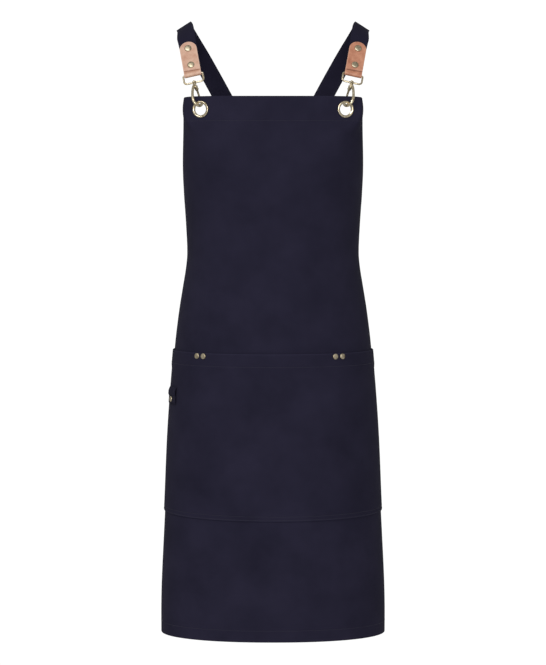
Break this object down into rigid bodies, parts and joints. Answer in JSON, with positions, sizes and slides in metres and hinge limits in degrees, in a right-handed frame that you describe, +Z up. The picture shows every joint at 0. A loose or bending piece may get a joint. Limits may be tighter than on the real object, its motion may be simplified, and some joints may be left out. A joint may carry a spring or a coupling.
{
  "type": "cross back apron",
  "caption": "Long cloth apron with a bib, a wide front pocket and a side loop, held by straps that cross on the back and clip to the bib with snap hooks on leather tabs.",
  "frame": {"origin": "the mount named shoulders: midway between the tops of the two straps' middle lines", "axes": "+Z up along the wearer, -Y is the front of the apron, +X to the right of the front view"},
  "size_m": [0.3568, 0.2275, 0.9685],
  "materials": {
    "cloth": "smooth tightly woven cloth, very dark navy",
    "webbing": "doubled cloth strap, very dark navy",
    "leather": "smooth tan vegetable tanned leather",
    "antique_brass": "polished antique brass",
    "dark_brass": "darker antique brass"
  },
  "bodies": {
    "apron": {"apron_panel": "cloth", "pocket": "cloth", "side_loop": "webbing", "pocket_rivet_1": "dark_brass", "pocket_rivet_2": "dark_brass", "pocket_rivet_3": "dark_brass", "pocket_rivet_4": "dark_brass", "side_loop_rivet": "dark_brass", "strap_left": "webbing", "strap_right": "webbing", "grommet_left": "antique_brass", "hook_left": "antique_brass", "strap_loop_left": "antique_brass", "leather_tab_left": "leather", "tab_rivet_left_1": "dark_brass", "tab_rivet_left_2": "dark_brass", "grommet_right": "antique_brass", "hook_right": "antique_brass", "strap_loop_right": "antique_brass", "leather_tab_right": "leather", "tab_rivet_right_1": "dark_brass", "tab_rivet_right_2": "dark_brass"},
    "gate_left": {"gate_left": "dark_brass"},
    "gate_right": {"gate_right": "dark_brass"}
  },
  "joints": [
    {"name": "gate_left_hinge", "type": "hinge", "parent": "apron", "child": "gate_left", "pos_m": [-0.11798, -0.08663, -0.10242], "axis": [-0.6572, 0.5917, -0.4669], "range_deg": [0, 16], "stiffness_Nm_per_rad": 0.005, "springref_deg": -17.19},
    {"name": "gate_right_hinge", "type": "hinge", "parent": "apron", "child": "gate_right", "pos_m": [0.11798, -0.08663, -0.10242], "axis": [-0.6572, -0.5917, 0.4669], "range_deg": [0, 16], "stiffness_Nm_per_rad": 0.005, "springref_deg": -17.19}
  ]
}
